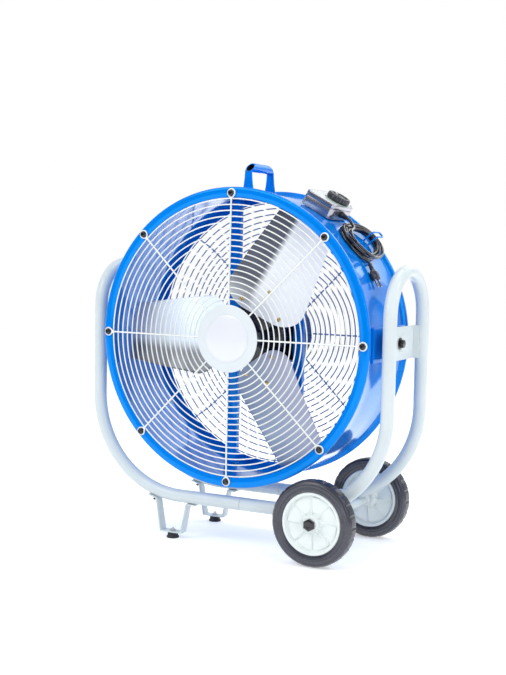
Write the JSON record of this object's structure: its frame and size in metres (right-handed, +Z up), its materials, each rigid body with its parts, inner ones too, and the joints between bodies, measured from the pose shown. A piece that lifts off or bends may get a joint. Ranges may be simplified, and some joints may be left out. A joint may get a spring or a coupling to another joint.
{
  "type": "drum fan",
  "caption": "Tilting drum fan in a bent-tube cradle on wheels and rubber feet, with wire guards, a twisted sheet blade rotor, a speed control and a hung-up supply cord.",
  "frame": {"origin": "on the floor, midway between the two pivots", "axes": "+Z up; +X towards the wheels along the tilt axis; -Y is the side the air leaves, with the badge"},
  "size_m": [0.8118, 0.4026, 0.9245],
  "materials": {
    "frame_paint": "satin",
    "blue_paint": "gloss",
    "guard_paint": "satin",
    "disc_plastic": "satin",
    "badge_plastic": "gloss",
    "blade_aluminium": "satin",
    "black_paint": "satin",
    "black_steel": "gloss",
    "steel": "satin",
    "rubber": "matt",
    "tyre_rubber": "matt",
    "white_plastic": "satin",
    "grey_plastic": "satin",
    "black_plastic": "satin",
    "dial_plastic": "matt",
    "nylon": "matt",
    "cord_rubber": "gloss"
  },
  "bodies": {
    "frame": {"frame_loop_left": "frame_paint", "frame_loop_right": "frame_paint", "axle_tube": "frame_paint", "axle_rod": "steel", "axle_cap_front": "black_plastic", "axle_cap_rear": "black_plastic", "foot_bracket_front": "frame_paint", "foot_bracket_rear": "frame_paint", "rubber_foot_front": "rubber", "rubber_foot_rear": "rubber", "foot_bolt_front": "steel", "foot_bolt_rear": "steel", "pivot_bracket_left": "frame_paint", "pivot_bracket_right": "frame_paint", "pivot_bolt_left": "black_steel", "pivot_bolt_right": "black_steel", "pivot_spacer_left": "nylon", "pivot_spacer_right": "nylon", "pivot_nut_left": "steel", "pivot_nut_right": "steel"},
    "drum": {"drum_shell": "blue_paint", "pivot_pad_left": "blue_paint", "pivot_pad_right": "blue_paint", "handle_tube": "blue_paint", "handle_plate_front": "blue_paint", "handle_plate_rear": "blue_paint", "front_guard": "guard_paint", "guard_centre_disc": "disc_plastic", "centre_badge": "badge_plastic", "guard_bolt_1": "black_steel", "guard_bolt_2": "black_steel", "guard_bolt_3": "black_steel", "guard_bolt_4": "black_steel", "guard_bolt_5": "black_steel", "guard_bolt_6": "black_steel", "guard_bolt_7": "black_steel", "guard_bolt_8": "black_steel", "rear_guard": "guard_paint", "rear_guard_disc": "guard_paint", "motor_bar_left": "blue_paint", "motor_bar_right": "blue_paint", "motor_housing": "black_paint", "motor_plate": "black_paint", "control_base": "grey_plastic", "control_lid": "grey_plastic", "dial_plate": "dial_plastic", "cord_gland": "black_plastic", "power_cord": "cord_rubber", "power_plug": "black_plastic", "cord_hook": "blue_paint"},
    "rotor": {"motor_shaft": "steel", "hub_spider": "black_paint", "blade_1": "blade_aluminium", "blade_2": "blade_aluminium", "blade_3": "blade_aluminium"},
    "knob": {"speed_knob": "black_plastic"},
    "wheel_front": {"wheel_rim_front": "white_plastic", "tyre_front": "tyre_rubber"},
    "wheel_rear": {"wheel_rim_rear": "white_plastic", "tyre_rear": "tyre_rubber"}
  },
  "joints": [
    {"name": "drum_tilt", "type": "hinge", "parent": "frame", "child": "drum", "pos_m": [0, 0, 0.505], "axis": [1, 0, 0], "range_deg": [-140, 140]},
    {"name": "fan_spin", "type": "hinge", "parent": "drum", "child": "rotor", "pos_m": [0, 0, 0.505], "axis": [0, 1, 0], "continuous": true},
    {"name": "knob_turn", "type": "hinge", "parent": "drum", "child": "knob", "pos_m": [0.19627, 0.022, 0.83294], "axis": [0.4863, 0, 0.8738], "range_deg": [0, 270]},
    {"name": "wheel_front_spin", "type": "hinge", "parent": "frame", "child": "wheel_front", "pos_m": [0.244, 0, 0.1], "axis": [0, 1, 0], "continuous": true},
    {"name": "wheel_rear_spin", "type": "hinge", "parent": "frame", "child": "wheel_rear", "pos_m": [0.244, 0, 0.1], "axis": [0, 1, 0], "continuous": true}
  ]
}
